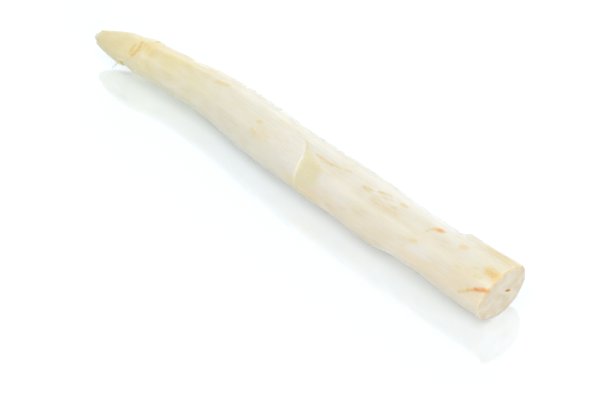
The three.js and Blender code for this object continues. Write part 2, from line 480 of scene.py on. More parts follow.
@dataclass
class Surface:
    """A closed skin of rings between two end points, with the masks of its points."""

    rings: np.ndarray
    ends: np.ndarray
    straight: np.ndarray
    masks: dict[Mask, Values]
    slots: np.ndarray

    def to_object(self, name: str, materials: list[bpy.types.Material]) -> bpy.types.Object:
        """Make the mesh object.

        Args:
            name: the object's name.
            materials: the materials of the mesh's slots.

        Returns:
            The object, in metres, with its faces out.
        """
        rows, around, _ = self.rings.shape
        points = np.concatenate([self.rings.reshape(-1, 3), self.ends])
        first, last = rows * around, rows * around + 1
        grid = np.arange(rows * around).reshape(rows, around)
        beside = np.roll(grid, -1, axis=1)
        quads = np.stack([grid[:-1], beside[:-1], beside[1:], grid[1:]], axis=-1).reshape(-1, 4)
        faces = [tuple(quad) for quad in quads.tolist()]
        faces += [(first, int(beside[0, i]), int(grid[0, i])) for i in range(around)]
        faces += [(last, int(grid[-1, i]), int(beside[-1, i])) for i in range(around)]
        triangles = np.array([(face[0], *pair) for face in faces for pair in zip(face[1:-1], face[2:])])
        a, b, c = (points - points.mean(axis=0))[triangles].transpose(1, 0, 2)
        if (a * np.cross(b, c)).sum() < 0:
            faces = [face[::-1] for face in faces]
        mesh = bpy.data.meshes.new(name)
        mesh.from_pydata((points * MM).tolist(), [], faces)
        for material in materials:
            mesh.materials.append(material)
        slots = np.repeat([*self.slots[:-1], self.slots[0], self.slots[-1]], around)
        mesh.polygons.foreach_set("material_index", slots.astype(np.int32))
        self._add_attributes(mesh)
        made = bpy.data.objects.new(name, mesh)
        bpy.context.scene.collection.objects.link(made)
        return made

    def _add_attributes(self, mesh: bpy.types.Mesh) -> None:
        """Store the masks, and where each point is on the spear when it is held straight.

        Args:
            mesh: the skin's mesh.
        """
        count = len(mesh.vertices)
        for mask in Mask:
            values = np.zeros(count, np.float32)
            values[:-2] = np.broadcast_to(self.masks.get(mask, 0.0), self.rings.shape[:2]).reshape(-1)
            values[-2:] = values[[0, -3]]
            mesh.attributes.new(mask.value, "FLOAT", "POINT").data.foreach_set("value", values)
        straight = np.concatenate([self.straight.reshape(-1, 3), self.straight[[0, -1]].mean(axis=1)])
        layer = mesh.attributes.new(STRAIGHT, "FLOAT_VECTOR", "POINT")
        layer.data.foreach_set("vector", straight.astype(np.float32).reshape(-1))
        known = mesh.attributes.new(KNOWN, "FLOAT", "POINT")
        known.data.foreach_set("value", np.ones(count, np.float32))


@dataclass
class Stem:
    """The stem from the bud at its tip to the cut end, with everything that peeling left on it."""

    form: Form
    seed: int = 20
    around: int = 204
    first_ring: float = 0.15
    ring_step: float = 0.6
    fine_step: float = 0.3
    fine_reach: float = 2.0
    fine_spans: Stations = ((0.0, 4.0), (114.0, 122.6))
    softness: float = 1.3
    deep_softness: float = 0.7
    passes: int = 8
    pass_angle: float = 20.0
    scatter: float = 3.0
    pass_lead: float = 2.6
    pass_starts: Span = (0.6, 3.6)
    pass_bites: Span = (0.6, 0.9)
    ridge_lead: float = 25.0
    ridge_starts: Span = (34, 94)
    ridge_lengths: Span = (70, 120)
    ridge_bites: Span = (0.4, 0.6)
    ridge_side: float = 5.0
    ridge_height: float = 0.12
    ridge_fade: float = 5.0
    never: float = 436.0
    turn: float = 137.5
    first_leaf_angle: float = 125.5
    scar_roots: tuple[float, ...] = (34, 43, 52, 62, 72, 88, 104, 120, 138, 158, 180, 204)
    shown_scars: tuple[float, ...] = (52, 88, 158, 180)
    scar_runs: Span = (12, 28)
    scar_bites: Span = (0.25, 0.6)
    shown_paleness: float = 0.4
    scar_share: float = 0.8
    rim_round: float = 1.0
    rim_rings: int = 7
    skin_rim_rings: int = 2
    cap_rings: tuple[float, ...] = (0.93, 0.84, 0.74, 0.63, 0.52, 0.41, 0.3, 0.2, 0.1)
    cap_unevenness: float = 0.12
    cap_rate: float = 1.55
    cap_angle: float = 50.0
    lump_height: float = 0.1
    lump_waves: int = 9
    wave_rates: Span = (0.02, 0.16)
    wave_phases: Span = (0, 6.3)
    wave_shares: Span = (0.4, 1)
    wave_kinds: int = 5
    wave_twist: float = 2.3
    relief_fade: float = 6.0
    threads: int = 34
    thread_starts: Span = (32, 190)
    thread_lengths: Span = (8, 34)
    thread_drift: Span = (-5, 5)
    thread_heights: Span = (0.05, 0.16)
    thread_widths: Span = (0.35, 0.6)
    rib_angles: tuple[float, ...] = (44, 51, 58, 65, 72)
    rib_height: float = 0.34
    rib_width: float = 2.3
    rib_start: float = 190.0
    rib_stagger: float = 4.0
    rib_spread: float = 0.25
    rib_fade: float = 8.0
    rib_swell: float = 0.3
    rib_swell_length: float = 3.0
    knob: Mark = Mark(Mask.PALE, (31, 214), (31, 214), 2.6, 0.5)
    deep: tuple[PeelerPass, ...] = (
        PeelerPass(45, 145, 194.5, 2.3, 45, 2.4),
        PeelerPass(216, 118, 153, 1.6, 20, 10),
        PeelerPass(216, 157, 212, 2.2, 16, 30),
        PeelerPass(139, 114, 146, 1.2, 12, 22),
    )
    edge: PeelEdge = PeelEdge()
    strokes: list[PeelerPass] = field(default_factory=list)
    scars: list[LeafScar] = field(default_factory=list)
    waves: list[tuple[float, int, float, float]] = field(default_factory=list)
    strands: list[Mark] = field(default_factory=list)

    def __post_init__(self) -> None:
        """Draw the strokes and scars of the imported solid, and then the finer relief."""
        draws = Draws(self.seed)
        for i in range(self.passes):
            angle = self.pass_angle + i * 360 / self.passes
            scattered = angle + draws.between(-self.scatter, self.scatter)
            nearest, furthest = (self.form.head_length + gap for gap in self.pass_starts)
            start = draws.between(nearest, furthest)
            bite = draws.between(*self.pass_bites)
            lead = self.pass_lead
            self.strokes.append(PeelerPass(scattered, start, self.never, bite, lead, lead))
            start = draws.between(*self.ridge_starts)
            scattered = angle + 180 / self.passes + draws.between(-self.scatter, self.scatter)
            end = start + draws.between(*self.ridge_lengths)
            bite = draws.between(*self.ridge_bites)
            lead = self.ridge_lead
            self.strokes.append(PeelerPass(scattered, start, end, bite, lead, lead))
        self.strokes += self.deep
        for i, root in enumerate(self.scar_roots):
            run = draws.between(*self.scar_runs)
            bite = draws.between(*self.scar_bites)
            paleness = self.shown_paleness if root in self.shown_scars else 0.0
            angle = self.first_leaf_angle + self.turn * (i + 1)
            self.scars.append(LeafScar(angle, root, run, bite, paleness))
        for i in range(self.lump_waves):
            rate = draws.between(*self.wave_rates)
            phase = draws.between(*self.wave_phases)
            share = draws.between(*self.wave_shares)
            self.waves.append((rate, 1 + i % self.wave_kinds, phase, share))
        for _ in range(self.threads):
            start = (draws.between(*self.thread_starts), draws.between(0, 360))
            length, drift = draws.between(*self.thread_lengths), draws.between(*self.thread_drift)
            height = draws.between(*self.thread_heights)
            width = draws.between(*self.thread_widths)
            end = (start[0] + length, start[1] + drift)
            self.strands.append(Mark(Mask.PALE, start, end, width, height))
        self.strands.append(self.knob)

    def radius(self, u: Values, angle: Values) -> Values:
        """Find the stem's radius with every flat and step.

        Args:
            u: the distance from the tip.
            angle: the angle about the axis.

        Returns:
            The radius.
        """
        radius = self.form.bud(u) + 0.0 * angle
        for stroke in self.strokes:
            softness = self.deep_softness if stroke in self.deep else self.softness
            radius = stroke.cut(radius, self.form, u, angle, softness)
        for scar in self.scars:
            radius = radius - scar.step(u, angle)
        return radius - self.edge.step(u, angle)

    def relief(self, u: Values, angle: Values, radius: Values) -> Values:
        """Find the finer relief: soft lumps, loosened threads, leaf scars and the ribs by the cut end.

        Args:
            u: the distance from the tip.
            angle: the angle about the axis.
            radius: the distance from the axis.

        Returns:
            How far each place is raised.
        """
        lifted = 0.0 * radius
        below_head = smooth((u - self.form.head_length) / self.relief_fade)
        for rate, count, phase, share in self.waves:
            wave = np.sin(rate * u + phase) * np.cos(count * np.radians(angle) + self.wave_twist * phase)
            lifted = lifted + self.lump_height * share * wave * below_head
        for strand in self.strands:
            lifted = lifted + strand.at(u, angle, radius)
        for scar in self.scars:
            lifted = lifted + scar.relief * scar.paleness * scar.triangle(u, angle)
        return lifted + self._ribs(u, angle)

    def _ribs(self, u: Values, angle: Values) -> Values:
        """Find the raised fibres that run to the cut end on the upper side.

        Args:
            u: the distance from the tip.
            angle: the angle about the axis.

        Returns:
            How far each place is raised.
        """
        ribs = 0.0 * u * angle
        for i, at in enumerate(self.rib_angles):
            middle = at + self.rib_spread * (u - self.form.length) * (0.5 - i / (len(self.rib_angles) - 1))
            start = self.rib_start + self.rib_stagger * (i % 3)
            swell = 1 - self.rib_swell + self.rib_swell * np.sin(u / self.rib_swell_length + 2 * i)
            rise = smooth((u - start) / self.rib_fade) * swell
            ribs = ribs + self.rib_height * rise * bell(turn_to(middle, angle) / self.rib_width)
        return ribs

    def ring_places(self) -> np.ndarray:
        """Space the rings, closer where a stroke starts or ends abruptly.

        Returns:
            The distances of the rings from the tip.
        """
        abrupt = [stroke.end for stroke in self.deep if stroke.lead_out < 3] + [self.form.head_length + 1]
        spans = [(step - self.fine_reach, step + self.fine_reach) for step in abrupt] + list(self.fine_spans)
        places, u = [], self.first_ring
        while u < self.form.length - self.rim_round - self.fine_step:
            places.append(u)
            fine = any(low < u < high for low, high in spans)
            u += self.fine_step if fine else self.ring_step
        return np.array(places)

    def ridges(self, u: np.ndarray, angle: np.ndarray) -> np.ndarray:
        """Mask where two flats meet in a ridge, from how far a place stands out from its neighbours, for the
        highlight painted there.

        Args:
            u: the distance from the tip.
            angle: the angle about the axis.

        Returns:
            The mask.
        """
        beside = (self.radius(u, angle - self.ridge_side) + self.radius(u, angle + self.ridge_side)) / 2
        standing = np.clip((self.radius(u, angle) - beside) / self.ridge_height, 0.0, 1.0)
        return standing * smooth((u - self.form.head_length) / self.ridge_fade)

    def _with_cut(
        self, u: np.ndarray, angle: np.ndarray, radius: np.ndarray
    ) -> tuple[np.ndarray, np.ndarray]:
        """Carry the rings on over the rounded rim and the cut face.

        Args:
            u: the distance of the skin's rings from the tip.
            angle: the angle about the axis.
            radius: the radius of the skin's rings.

        Returns:
            The distance from the tip and the radius of all rings.
        """
        round_off = np.radians(np.linspace(0, 90, self.rim_rings))[:, None]
        rim_u = self.form.length - self.rim_round * (1 - np.sin(round_off))
        rim_radius = radius[-1:] - self.rim_round * (1 - np.cos(round_off))
        share = np.array(self.cap_rings)[:, None]
        cap_radius = rim_radius[-1:] * share
        bulge = np.sin(self.cap_rate * cap_radius * np.cos(np.radians(angle - self.cap_angle))) * (1 - share)
        cap_u = self.form.length + self.cap_unevenness * bulge
        all_u = np.concatenate([u + 0 * angle, rim_u + 0 * angle, cap_u])
        return all_u, np.concatenate([radius, rim_radius, cap_radius])

    def surface(self, marks: Marks) -> Surface:
        """Make the stem's skin and its cut face.

        Args:
            marks: the coloured marks on the flesh.

        Returns:
            The closed skin of rings, with its masks.
        """
        angle = np.linspace(0.0, 360.0, self.around, endpoint=False)[None, :]
        skin_u = self.ring_places()[:, None]
        radius = self.radius(skin_u, angle)
        u, radius = self._with_cut(skin_u, angle, radius + self.relief(skin_u, angle, radius))
        angle = angle + 0 * u
        masks = marks.on(u, angle, radius)
        # The ridge mask, used for the highlight painted on the ridges.
        masks[Mask.RIDGE_HIGHLIGHT] = self.ridges(u, angle)
        for scar in self.scars:
            pale = self.scar_share * scar.paleness * scar.triangle(u, angle)
            masks[Mask.PALE] = np.maximum(masks[Mask.PALE], pale)
        masks[Mask.PALE] = np.maximum(masks[Mask.PALE], self.edge.white(u, angle))
        masks[Mask.GREEN] = np.maximum(masks[Mask.GREEN], self.edge.green(u, angle))
        for mask in STAINS:
            masks[mask][-len(self.cap_rings) :] = 0.0
        slots = np.full(len(u), Slot.FLESH.value)
        slots[len(skin_u) + self.skin_rim_rings :] = Slot.CUT.value
        tips = self.form.place(np.array([0.0, self.form.length]), 0.0, 0.0)
        straight = straight_places(u, angle, radius)
        return Surface(self.form.place(u, angle, radius), tips, straight, masks, slots)


@dataclass(frozen=True)
class Marks:
    """The coloured marks on the flesh, how far the head's yellow reaches down the stem, and the shade and
    light painted across the sides.
    """

    # The ochre strokes along the torn leaf edge are partly painted shade in the crease beside it.
    hook: tuple[Mark, ...] = (
        Mark(Mask.OCHRE, (23.4, 113), (23.0, 137), 0.85, 0.75),
        Mark(Mask.OCHRE, (24.7, 95), (26.0, 121), 0.85, 0.9),
        Mark(Mask.OCHRE, (26.0, 121), (24.4, 145), 1.0, 0.9),
        Mark(Mask.OCHRE, (24.7, 95), (29.0, 101), 0.9, 0.55),
        Mark(Mask.OCHRE, (27.6, 106), (32.0, 110), 2.6, 0.42),
        Mark(Mask.PALE, (24.6, 106), (24.3, 124), 0.5, 0.6),
        Mark(Mask.PALE, (0.4, 120), (2.4, 130), 1.6, 0.8),
    )
    upper_marks: tuple[Mark, ...] = (
        Mark(Mask.OCHRE, (34.0, 92), (46.0, 84), 1.6, 0.2),
        Mark(Mask.OCHRE, (50.0, 76), (61.0, 69), 0.9, 0.4),
        Mark(Mask.PALE, (52.0, 66), (55.0, 62), 1.0, 0.7),
        Mark(Mask.OCHRE, (52.0, 53), (59.0, 51), 0.6, 0.55),
        Mark(Mask.OCHRE, (66.0, 50), (74.0, 47), 0.7, 0.55),
        Mark(Mask.OCHRE, (65.2, 97), (71.2, 89), 1.0, 0.5),
        Mark(Mask.ORANGE, (69.8, 91), (70.6, 90), 0.8, 0.28),
        Mark(Mask.OCHRE, (94.2, 118), (95.6, 115), 1.0, 0.45),
        Mark(Mask.ORANGE, (94.7, 117), (95.1, 116), 0.6, 0.3),
        Mark(Mask.OCHRE, (93.6, 136), (96.2, 141), 1.0, 0.48),
        Mark(Mask.OCHRE, (97.0, 127), (101.5, 133), 2.6, 0.25),
    )
    edge_marks: tuple[Mark, ...] = (
        Mark(Mask.GREEN, (117.0, 90), (119.6, 100), 0.8, 0.6),
        Mark(Mask.OCHRE, (121.2, 126), (121.1, 142), 0.35, 0.6),
        Mark(Mask.OCHRE, (120, 186), (132, 190), 4.5, 0.36),
        Mark(Mask.OCHRE, (124.4, 99), (128.8, 99), 0.6, 0.6),
        Mark(Mask.OCHRE, (129.9, 100), (133.6, 99), 0.6, 0.7),
        Mark(Mask.ORANGE, (131.0, 100), (132.4, 99), 0.4, 0.3),
        Mark(Mask.OCHRE, (133.4, 97), (137.0, 96), 0.8, 0.4),
        Mark(Mask.OCHRE, (139.0, 93), (141.0, 89), 0.65, 0.55),
        Mark(Mask.PALE, (134.0, 137), (145.0, 131), 3.2, 0.75),
        Mark(Mask.GREEN, (142.0, 204), (157.0, 206), 1.8, 0.5),
    )
    flecks: tuple[Mark, ...] = (
        Mark(Mask.OCHRE, (150.0, 101), (153.6, 99), 1.0, 0.55),
        Mark(Mask.OCHRE, (156.2, 91), (158.4, 88), 0.55, 0.75),
        Mark(Mask.ORANGE, (157.0, 90), (157.6, 89), 0.35, 0.4),
        Mark(Mask.OCHRE, (159.6, 86), (161.8, 83), 0.4, 0.5),
        Mark(Mask.PALE, (160.6, 89), (163.6, 86), 0.5, 0.7),
        Mark(Mask.OCHRE, (161.4, 92), (163.4, 90), 0.5, 0.4),
        Mark(Mask.PALE, (163.8, 92), (166.0, 90), 0.4, 0.5),
        Mark(Mask.OCHRE, (167.2, 87), (169.6, 85), 0.8, 0.6),
        Mark(Mask.OCHRE, (156.8, 104), (158.6, 103), 0.9, 0.35),
        Mark(Mask.OCHRE, (165.4, 103), (166.6, 101), 0.9, 0.42),
        # A faint ochre line painted as the shade along the border between two flats.
        Mark(Mask.OCHRE, (151.5, 150), (182.0, 138), 0.5, 0.24),
    )
    arc: tuple[Mark, ...] = (
        Mark(Mask.ORANGE, (186.6, 91.2), (187.8, 89.5), 1.0, 0.85),
        Mark(Mask.ORANGE, (184.6, 94), (186.0, 91), 0.6, 0.4),
        Mark(Mask.OCHRE, (183.0, 107), (183.7, 100), 0.6, 0.6),
        Mark(Mask.OCHRE, (183.7, 100), (185.6, 92), 0.8, 0.6),
        Mark(Mask.OCHRE, (187.4, 90), (189.2, 87), 0.6, 0.55),
        Mark(Mask.OCHRE, (179.8, 136), (182.2, 133), 0.9, 0.55),
        Mark(Mask.PALE, (181.5, 148), (187.5, 142), 2.6, 0.75),
    )
    butt_stain: tuple[Mark, ...] = (
        Mark(Mask.OCHRE, (198.4, 95), (200.2, 92), 1.5, 0.5),
        Mark(Mask.OCHRE, (207.8, 117), (209.2, 115), 0.8, 0.4),
        Mark(Mask.GREEN, (210.0, 128), (212.4, 125), 1.0, 0.9),
        Mark(Mask.OCHRE, (213.2, 108), (216.8, 109), 2.3, 0.75),
        Mark(Mask.ORANGE, (214.2, 109), (216.0, 109), 1.5, 0.38),
        Mark(Mask.OCHRE, (215.8, 113), (217.8, 120), 1.3, 0.6),
    )
    butt_streak: tuple[Mark, ...] = (
        Mark(Mask.OCHRE, (206.6, 169), (210.4, 157), 0.6, 0.75),
        Mark(Mask.OCHRE, (209.6, 159), (212.6, 150), 0.8, 0.4),
        Mark(Mask.ORANGE, (210.2, 157), (213.1, 147.5), 0.55, 0.7),
        Mark(Mask.ORANGE, (213.1, 147.5), (215.6, 142.5), 0.9, 1.0),
        Mark(Mask.ORANGE, (215.2, 142.5), (218.0, 138.5), 0.9, 0.95),
        Mark(Mask.OCHRE, (217.0, 141.0), (218.2, 137.0), 1.3, 0.3),
    )
    rib_lines: tuple[Mark, ...] = (
        Mark(Mask.OCHRE, (192.0, 47.5), (206.0, 50), 0.35, 0.4),
        Mark(Mask.OCHRE, (203.0, 50), (217.0, 53), 0.5, 0.75),
        Mark(Mask.OCHRE, (195.0, 57), (208.0, 59), 0.35, 0.45),
        Mark(Mask.OCHRE, (205.0, 58.5), (217.0, 60), 0.45, 0.8),
        Mark(Mask.OCHRE, (196.0, 65.5), (204.0, 67), 0.35, 0.45),
        Mark(Mask.OCHRE, (202.0, 66.5), (216.0, 69), 0.45, 0.7),
        Mark(Mask.OCHRE, (190.0, 79.0), (203.0, 80), 0.4, 0.32),
    )
    patches: tuple[Patch, ...] = (
        Patch(Mask.OCHRE, (26, 50), (48, 112), 3, 16, 18, 0.28),
        Patch(Mask.OCHRE, (90, 106), (118, 160), 6, 6, 18, 0.25),
        Patch(Mask.OCHRE, (150, 176), (92, 126), 8, 8, 14, 0.25),
        Patch(Mask.OCHRE, (196, 214), (112, 160), 8, 6, 16, 0.25),
        Patch(Mask.OCHRE, (198, 219), (45, 104), 7, 2, 16, 0.18),
        # A pale patch on the lit top: a painted highlight.
        Patch(Mask.PALE, (70, 100), (58, 104), 12, 12, 14, 0.35),
        Patch(Mask.PALE, (133, 152), (112, 166), 8, 9, 18, 0.6),
        Patch(Mask.PALE, (146, 190), (52, 80), 10, 12, 10, 0.5),
        Patch(Mask.PALE, (154, 216), (129, 157), 10, 8, 12, 0.32),
        Patch(Mask.PALE, (179, 194), (128, 162), 5, 7, 12, 0.6),
        Patch(Mask.ROUGH, (48, 78), (52, 92), 5, 10, 12, 0.6),
        Patch(Mask.ROUGH, (100, 120.5), (104, 154), 8, 1, 14, 0.9),
        Patch(Mask.ROUGH, (122, 140), (88, 112), 3, 8, 8, 0.7),
        Patch(Mask.ROUGH, (146, 173), (76, 122), 5, 6, 10, 1.0),
        Patch(Mask.ROUGH, (186, 218), (28, 92), 8, 1, 10, 0.8),
        Patch(Mask.ROUGH, (40, 205), (262, 318), 30, 30, 20, 0.5),
    )
    tint: Stations = (
        (0, 1.0), (26, 1.0), (38, 0.95), (50, 0.68), (75, 0.3), (115, 0.14), (190, 0.12), (218, 0.2)
    )
    # Painted light on the top: less tint along most of the stem, so the lit top is whiter; more tint near the
    # head.
    top_light_tint: Stations = (
        (0, 0.0), (28, 0.1), (42, 0.34), (55, 0.2), (72, -0.1), (100, -0.14), (195, -0.1), (218, 0.2)
    )
    # Painted shade: how much warm cream the flanks away from the lit top take, more towards the cut end.
    shade_warmth: Stations = (
        (0, 0.0), (40, 0.04), (70, 0.1), (105, 0.22), (130, 0.6), (165, 0.7), (190, 0.75), (218, 0.85)
    )
    # Painted shade: the lower side, away from the upper angle, takes more of the yellow tint.
    upper: float = 95.0
    lower_from: float = 60.0
    lower_run: float = 70.0
    lower_shade_tint: float = 0.25
    # The lit top's angle and reach, for the painted light on the top and the painted warm shade.
    top: float = 66.0
    top_half: float = 12.0
    top_run: float = 44.0
    warm_shade_from: float = 22.0
    warm_shade_run: float = 105.0
    hidden_seed: int = 7
    hidden_marks: int = 20
    hidden_orange: float = 0.25
    hidden_places: Span = (40, 210)
    hidden_angles: Span = (225, 390)
    hidden_lengths: Span = (0.4, 6)
    hidden_drift: Span = (-7, 7)
    hidden_widths: Span = (0.35, 1.2)
    hidden_strengths: Span = (0.2, 0.5)

    def _shown(self) -> tuple[Mark, ...]:
        """Return the marks of the side that faces the camera."""
        head = self.hook + self.upper_marks + self.edge_marks + self.flecks
        return head + self.arc + self.butt_stain + self.butt_streak + self.rib_lines

    def _hidden(self) -> tuple[Mark, ...]:
        """Draw the faint marks of the sides that face away.

        Returns:
            The marks.
        """
        draws = Draws(self.hidden_seed)
        drawn = []
        for _ in range(self.hidden_marks):
            start = (draws.between(*self.hidden_places), draws.between(*self.hidden_angles))
            length, drift = draws.between(*self.hidden_lengths), draws.between(*self.hidden_drift)
            end = (start[0] + length, start[1] + drift)
            kind = Mask.ORANGE if draws.between(0, 1) < self.hidden_orange else Mask.OCHRE
            width = draws.between(*self.hidden_widths)
            strength = draws.between(*self.hidden_strengths)
            drawn.append(Mark(kind, start, end, width, strength))
        return tuple(drawn)

    def on(self, u: np.ndarray, angle: np.ndarray, radius: np.ndarray) -> dict[Mask, np.ndarray]:
        """Work out the masks of all marks, with the shade and light painted across the sides.

        Args:
            u: the distance from the tip.
            angle: the angle about the axis.
            radius: the distance from the axis.

        Returns:
            The masks, each of them at every place.
        """
        masks = {mask: np.zeros(u.shape) for mask in Mask}
        for mark in self._shown() + self._hidden():
            masks[mark.kind] = np.maximum(masks[mark.kind], mark.at(u, angle, radius))
        for patch in self.patches:
            masks[patch.kind] = np.maximum(masks[patch.kind], patch.at(u, angle))
        # Painted shade and light: more tint on the lower side, a shifted tint on the lit top, warm cream on
        # the flanks away from it.
        lower = smooth((np.abs(turn_to(self.upper, angle)) - self.lower_from) / self.lower_run)
        from_top = np.abs(turn_to(self.top, angle))
        top_lit = 1 - smooth((from_top - self.top_half) / self.top_run)
        tint = along(self.tint, u) + self.lower_shade_tint * lower + along(self.top_light_tint, u) * top_lit
        masks[Mask.TINT] = np.clip(tint, 0.0, 1.0)
        masks[Mask.WARM_SHADE] = along(self.shade_warmth, u) * smooth((from_top - self.warm_shade_from) / self.warm_shade_run)
        return masks


@dataclass(frozen=True)
class ScaleLeaf:
    """One closed scale leaf of the head: an arched blade, rooted in the stem and drawn to a point."""

    form: Form
    order: int
    turn: float = 137.5
    first_angle: float = 125.5
    spacing: float = 0.82
    share: float = 0.86
    width: float = 18.0
    reach: float = 0.985
    layer: float = 0.026
    thickness: float = 0.9
    root_thickness: float = 2.6
    thick_until: float = 0.3
    margin_thickness: float = 0.35
    margin_drop: float = 0.28
    margin_width: float = 0.7
    tuck: float = 1.7
    tuck_until: float = 0.42
    keel: float = 0.12
    keel_width: float = 0.22
    tip_lift: float = 0.25
    tip_from: float = 0.78
    wave: float = 0.02
    wave_rate: float = 19.0
    wave_shift: float = 2.4
    widest: float = 82.0
    outer_leaves: int = 3
    outer_sink: float = 0.12
    inner_sink: float = 0.9
    sink_until: float = 0.3
    keel_rise: float = 0.5
    tip_run: float = 0.2
    tip_cap: float = 0.1
    tip_margin: float = 0.2
    root_cap: float = 0.8
    margin_from: float = 0.02
    margin_rise: float = 0.1
    row_ease: float = 0.9
    rows: int = 34
    across_points: int = 27

    def outline(self, v: Values) -> Values:
        """Return the width at v, from 0 at the root to 1 at the point, as a share of the full width."""
        return (1 - v) ** 0.75 * (0.85 + 1.1 * v)

    def _top(self, v: np.ndarray, across: np.ndarray, skin: np.ndarray) -> np.ndarray:
        """Find the radius of the blade's outer face.

        Args:
            v: the place along the blade, from 0 at the root to 1 at the point.
            across: the place across the blade, from -1 to 1.
            skin: the head's radius there.

        Returns:
            The radius.
        """
        sink = self.outer_sink if self.order < self.outer_leaves else self.inner_sink
        top = skin * (1 - self.layer * self.order) - sink * (1 - smooth(v / self.sink_until))
        top = top - (self.margin_drop + self.tuck * (1 - smooth(v / self.tuck_until))) * across**4
        top = top + self.keel * bell(across / self.keel_width) * smooth(v / self.keel_rise)
        return top + self.tip_lift * smooth((v - self.tip_from) / self.tip_run)

    def surface(self, marks: Marks) -> Surface:
        """Make the blade's skin.

        Args:
            marks: the coloured marks on the flesh.

        Returns:
            The closed skin of rings, with its masks.
        """
        root = self.form.head_length * self.spacing**self.order
        v = self.reach * np.linspace(0, 1, self.rows)[:, None] ** self.row_ease
        u = root * (1 - self.share * v)
        outer = np.linspace(1, -1, self.across_points)
        across = np.concatenate([outer, outer[-2:0:-1]])[None, :]
        under = np.concatenate([np.zeros(len(outer)), np.ones(len(outer) - 2)])[None, :]
        skin = self.form.skin(u)
        half = np.degrees(self.width * self.outline(v) * math.sqrt(root / self.form.head_length) / 2 / skin)
        ripple = 1 + self.wave * np.sin(self.wave_rate * v + self.wave_shift * self.order)
        half = np.minimum(half, self.widest) * ripple
        angle = self.first_angle - self.turn * self.order + half * across
        top = self._top(v, across, skin)
        thinning = smooth((v - self.thick_until) / (1 - self.thick_until))
        middle = self.root_thickness + (self.thickness - self.root_thickness) * thinning
        thick = self.margin_thickness + (middle - self.margin_thickness) * np.sqrt(1 - across**2)
        thick = np.minimum(thick, top / 2)
        edge = np.abs(across) > 1 - 1e-6
        radius = top - np.where(edge, 0.5 * thick, under * thick)
        all_u = u + 0 * across
        ends_u = np.array([float(u[0, 0]), float(u[-1, 0]) - self.tip_cap])
        ends_radius = np.array([float(radius[0].mean()) - self.root_cap, float(radius[-1].mean())])
        ends = self.form.place(ends_u, angle[[0, -1], 0] - half[[0, -1], 0], ends_radius)
        masks = marks.on(all_u, angle, radius)
        from_side = (1 - np.abs(across)) * np.radians(half) * skin
        from_tip = root * self.share * (self.reach - v) + self.tip_margin
        margin = bell(np.minimum(from_side, from_tip) / self.margin_width)
        masks[Mask.MARGIN] = margin * smooth((v - self.margin_from) / self.margin_rise)
        straight = straight_places(all_u, angle, radius)
        slots = np.full(self.rows, Slot.LEAF.value)
        return Surface(self.form.place(all_u, angle, radius), ends, straight, masks, slots)


@dataclass(frozen=True)
class SideBud:
    """The small ochre bud that shows at the head's lower side."""

    form: Form
    at: Span = (19.4, 203.0)
    sink: float = 0.2
    size: tuple[float, float, float] = (1.15, 1.0, 1.4)
    rows: int = 11
    around: int = 20

    def surface(self) -> Surface:
        """Make the bud as an egg that stands half out of the head.

        Returns:
            The closed skin of rings, with its masks.
        """
        u, angle = self.at
        radius = self.form.skin(u) - self.sink
        out = np.array([0.0, math.cos(math.radians(angle)), math.sin(math.radians(angle))])
        side = np.array([0.0, -out[2], out[1]])
        axes = np.stack([out, [1.0, 0.0, 0.0], side]) * np.array(self.size)[:, None]
        rings, poles = egg(self.rows, self.around, axes)
        centre = self.form.place(np.array([u]), angle, radius)[0]
        straight = rings + straight_places(u, angle, radius)
        masks = {Mask.TINT: 1.0, Mask.OCHRE: 1.0}
        return Surface(rings + centre, poles + centre, straight, masks, np.full(self.rows, Slot.LEAF.value))


@dataclass(frozen=True)
class Wisp:
    """A torn thread of a scale leaf that stands off the head's lower side."""

    form: Form
    root: Span = (16.6, 213.0)
    lean: float = -1.9
    curl: float = 1.3
    turn: float = 4.0
    rise: float = 2.1
    sink: float = 2.6
    thickness: float = 0.95
    taper: float = 0.64
    flatness: float = 0.6
    rows: int = 9
    around: int = 8

    def surface(self) -> Surface:
        """Make the thread as a thin tapering tube.

        Returns:
            The closed skin of rings, with its masks.
        """
        t = np.linspace(0, 1, self.rows)
        u = self.root[0] + self.lean * t**self.curl
        radius = self.form.skin(self.root[0]) - self.sink + (self.rise + self.sink) * t
        spine = self.form.place(u, self.root[1] + self.turn * t, radius)
        tangent = np.gradient(spine, axis=0)
        tangent /= np.linalg.norm(tangent, axis=1, keepdims=True)
        side = np.cross(tangent, [0.0, 0.3, 1.0])
        side /= np.linalg.norm(side, axis=1, keepdims=True)
        other = self.flatness * np.cross(tangent, side)
        turn = np.linspace(0, 2 * math.pi, self.around, endpoint=False)[None, :, None]
        size = self.thickness * (1 - self.taper * t)[:, None, None]
        ring = size * (np.cos(turn) * side[:, None] + np.sin(turn) * other[:, None])
        straight = straight_places(u, self.root[1], radius)[:, None] + ring
        masks = {Mask.PALE: 1.0, Mask.MARGIN: 1.0}
        slots = np.full(self.rows, Slot.LEAF.value)
        return Surface(spine[:, None] + ring, spine[[0, -1]], straight, masks, slots)


@dataclass(frozen=True)
class Slit:
    """The short dry slit in the pith of the cut end."""

    form: Form
    length: float = 3.8
    width: float = 1.25
    depth: float = 1.5
    angle: float = 144.0
    offset: float = 2.5
    rows: int = 13
    around: int = 24

    def surface(self) -> Surface:
        """Make the lens-shaped pocket that is cut out of the end.

        Returns:
            The closed skin of rings, with its masks.
        """
        spin = math.radians(self.angle)
        lengthwise = np.array([0.0, math.cos(spin), math.sin(spin)])
        crosswise = np.array([0.0, -math.sin(spin), math.cos(spin)])
        half = np.array([[self.depth], [self.length / 2], [self.width / 2]])
        rings, poles = egg(self.rows, self.around, np.stack([[1.0, 0.0, 0.0], lengthwise, crosswise]) * half)
        axis = self.form.place(np.array([self.form.length]), 0.0, 0.0)[0]
        centre = axis + np.array([0.0, self.offset, 0.0])
        straight = rings + centre - axis + np.array([self.form.length, 0.0, 0.0])
        masks = {Mask.OCHRE: 1.0, Mask.TINT: 0.5}
        return Surface(rings + centre, poles + centre, straight, masks, np.full(self.rows, Slot.CUT.value))


